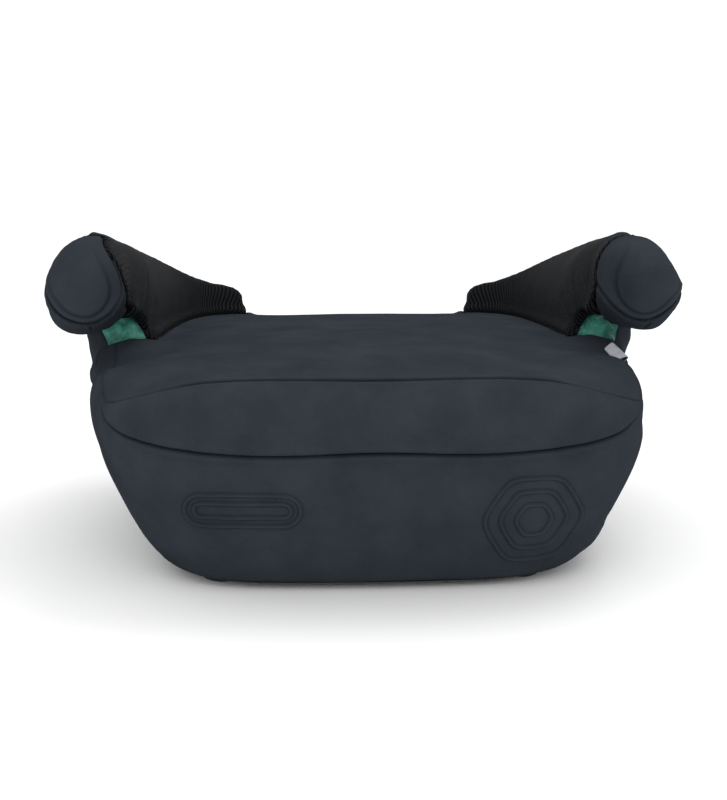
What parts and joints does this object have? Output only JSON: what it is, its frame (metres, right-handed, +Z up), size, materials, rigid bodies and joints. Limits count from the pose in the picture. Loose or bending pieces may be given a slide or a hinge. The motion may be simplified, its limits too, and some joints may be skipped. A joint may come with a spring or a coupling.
{
  "type": "backless booster seat",
  "caption": "Backless car booster seat: a tapered cushioned base with a front roll and two padded armrests whose forward horns hold the lap belt down.",
  "frame": {"origin": "on the floor under the middle of the whole seat's bounding box", "axes": "+X towards the sitter's left, -Y towards the front edge of the seat, +Z up"},
  "size_m": [0.4402, 0.3754, 0.2242],
  "materials": {
    "moulding": "moulded grain",
    "expanded_foam": "expanded bead foam",
    "screw_steel": "zinc plated",
    "foot_rubber": "matt",
    "soft_foam": "open-cell upholstery foam",
    "charcoal_knit": "smooth bonded knit",
    "black_mesh": "ribbed air mesh",
    "green_satin": "satin weave",
    "hem_tape": "woven hem",
    "elastic": "covered elastic cord",
    "label_tape": "woven tape"
  },
  "bodies": {
    "root": {"base_tray": "moulding", "seat_deck": "moulding", "left_arm_inner_shell": "moulding", "right_arm_inner_shell": "moulding", "left_arm_outer_shell": "moulding", "right_arm_outer_shell": "moulding", "eps_core": "expanded_foam", "tray_screws": "screw_steel", "arm_mounting_screws": "screw_steel", "left_arm_screws": "screw_steel", "right_arm_screws": "screw_steel", "rubber_feet": "foot_rubber", "seat_foam": "soft_foam", "front_roll_foam": "soft_foam", "left_arm_foam": "soft_foam", "right_arm_foam": "soft_foam", "left_horn_foam": "soft_foam", "right_horn_foam": "soft_foam", "seat_top_cover": "charcoal_knit", "front_roll_cover": "charcoal_knit", "front_skirt_cover": "charcoal_knit", "rear_skirt_cover": "charcoal_knit", "left_arm_outer_cover": "charcoal_knit", "right_arm_outer_cover": "charcoal_knit", "left_horn_cap_cover": "charcoal_knit", "right_horn_cap_cover": "charcoal_knit", "left_arm_mesh_cover": "black_mesh", "right_arm_mesh_cover": "black_mesh", "left_belt_guide": "green_satin", "right_belt_guide": "green_satin", "hem_band": "hem_tape", "hem_elastic": "elastic", "label_loop": "label_tape"}
  },
  "joints": []
}
